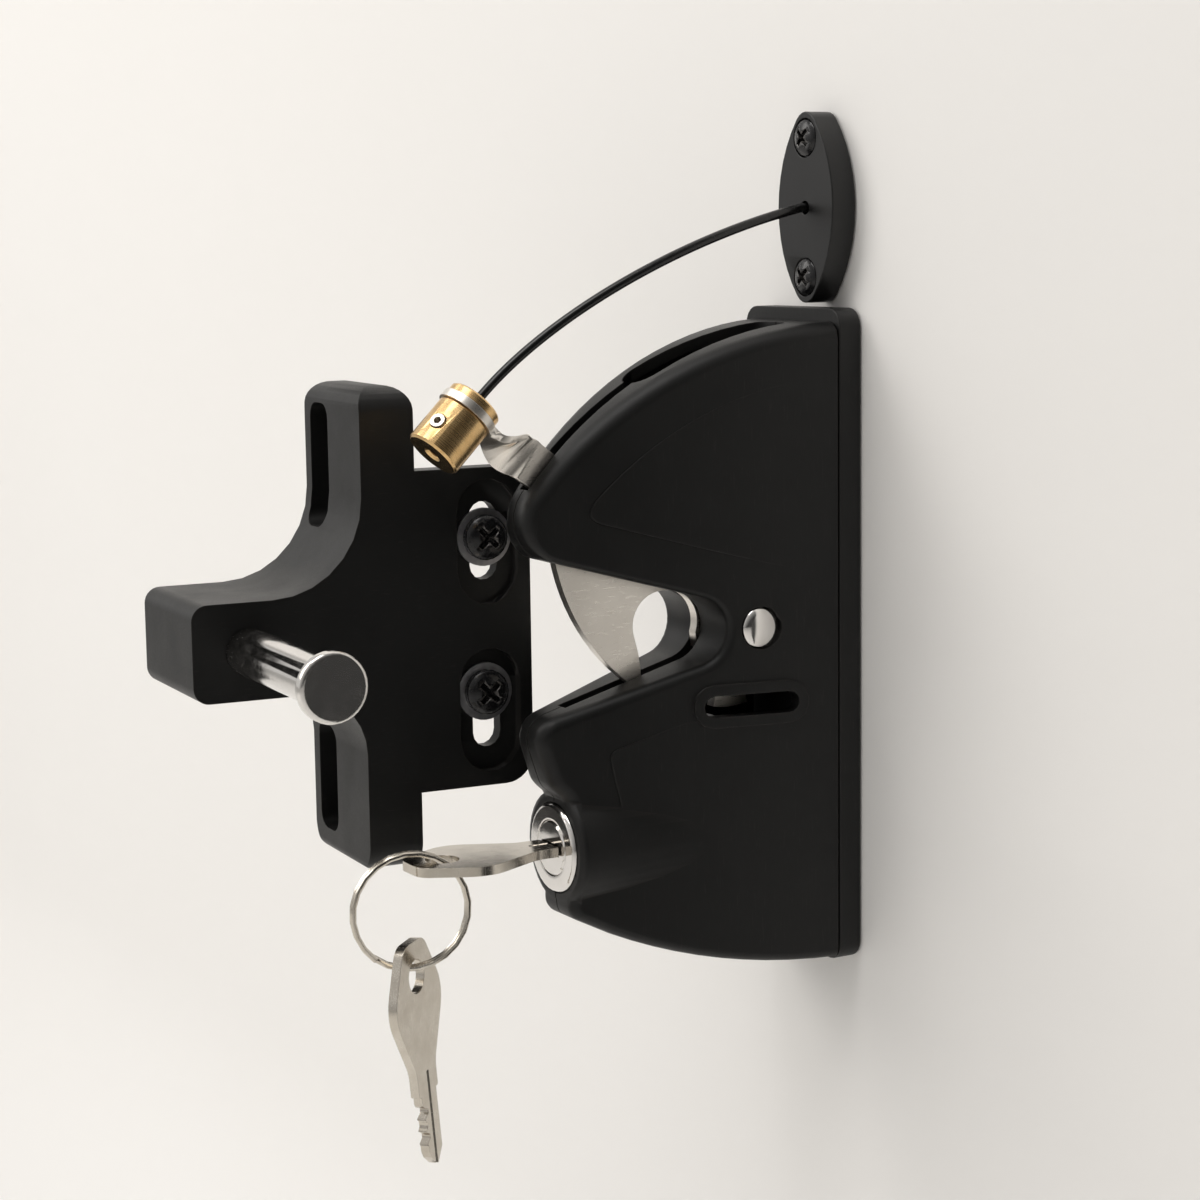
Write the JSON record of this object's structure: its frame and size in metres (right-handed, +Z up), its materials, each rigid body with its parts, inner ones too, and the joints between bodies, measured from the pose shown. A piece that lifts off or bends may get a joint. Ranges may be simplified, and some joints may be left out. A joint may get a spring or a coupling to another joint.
{
  "type": "key-locking gate latch with pull cable",
  "caption": "Gravity gate latch: wedge housing with a pivoting claw, key lock, pull cable and escutcheon, with a striker bracket and pin for the gate.",
  "frame": {"origin": "on the post's face (the plane the base plate and escutcheon stand on), in the middle plane of the claw, at the height of the claw's pivot", "axes": "+X along the fence, from the gate towards the post's outer end; +Y into the post, so -Y is the way the mouth and the lock face; +Z up"},
  "size_m": [0.0851, 0.1561, 0.2178],
  "materials": {
    "housing_nylon": "satin black glass-filled nylon",
    "coated_metal": "satin black coating",
    "stainless": "satin rolled stainless steel",
    "polished_steel": "polished",
    "brass": "turned, lightly brushed",
    "nickel": "nickel plated, worn",
    "zinc_steel": "zinc plated",
    "black_steel": "glossy black oxide",
    "cable_jacket": "glossy black sheath",
    "acetal": "natural acetal"
  },
  "bodies": {
    "latch": {"base_plate": "housing_nylon", "near_shell": "housing_nylon", "far_shell": "housing_nylon", "base_screw_1": "zinc_steel", "base_screw_2": "zinc_steel", "base_screw_3": "zinc_steel", "shell_screw_1": "black_steel", "shell_screw_2": "black_steel", "shell_screw_3": "black_steel", "pivot_rivet": "polished_steel", "pivot_bush": "acetal", "lock_barrel": "polished_steel", "lock_clip": "zinc_steel", "escutcheon": "coated_metal", "escutcheon_screw_1": "black_steel", "escutcheon_screw_2": "black_steel", "cable": "cable_jacket"},
    "claw_body": {"claw": "stainless"},
    "clamp_body": {"cable_clamp": "brass", "clamp_collar": "brass", "clamp_set_screw": "zinc_steel"},
    "plug_body": {"lock_plug": "polished_steel", "lock_cam": "zinc_steel", "cam_screw": "zinc_steel"},
    "bar_body": {"locking_bar": "zinc_steel"},
    "key_body": {"key": "nickel"},
    "ring_body": {"key_ring": "nickel"},
    "spare_body": {"spare_key": "nickel"},
    "striker_body": {"striker_bracket": "housing_nylon", "striker_pin": "polished_steel", "striker_pin_screw": "zinc_steel", "side_washer_1": "zinc_steel", "side_washer_2": "zinc_steel", "side_screw_1": "black_steel", "side_screw_2": "black_steel"}
  },
  "joints": [
    {"name": "claw_pivot", "type": "hinge", "parent": "latch", "child": "claw_body", "pos_m": [0, -0.0232, 0], "axis": [-1, 0, 0], "range_deg": [0, 45], "deforming": ["cable"]},
    {"name": "clamp_swivel", "type": "hinge", "parent": "claw_body", "child": "clamp_body", "pos_m": [0, -0.08483, 0.04781], "axis": [0, 0.7071, 0.7071], "range_deg": [-60, 60], "deforming": ["cable"]},
    {"name": "lock_turn", "type": "hinge", "parent": "latch", "child": "plug_body", "pos_m": [0, -0.0672, -0.0449], "axis": [0, -1, 0], "range_deg": [0, 90]},
    {"name": "bar_lift", "type": "slide", "parent": "latch", "child": "bar_body", "axis": [0, 0, 1], "range_m": [0, 0.0071]},
    {"name": "key_withdraw", "type": "slide", "parent": "plug_body", "child": "key_body", "axis": [0, -1, 0], "range_m": [0, 0.03]},
    {"name": "ring_swing", "type": "hinge", "parent": "key_body", "child": "ring_body", "pos_m": [0, -0.09285, -0.0449], "axis": [0, -1, 0], "range_deg": [-12, 12]},
    {"name": "spare_key_swing", "type": "hinge", "parent": "ring_body", "child": "spare_body", "pos_m": [-0.00166, -0.09952, -0.0665], "axis": [0.2419, 0.9703, 0], "range_deg": [-20, 20]},
    {"name": "gate_swing", "type": "hinge", "parent": "latch", "child": "striker_body", "pos_m": [-1.248, -0.01, 0], "axis": [0, 0, 1], "range_deg": [-3, 2.7]}
  ],
  "couplings": [
    {"joint": "bar_lift", "follows": "lock_turn", "m_per_rad": 0.0045016}
  ]
}
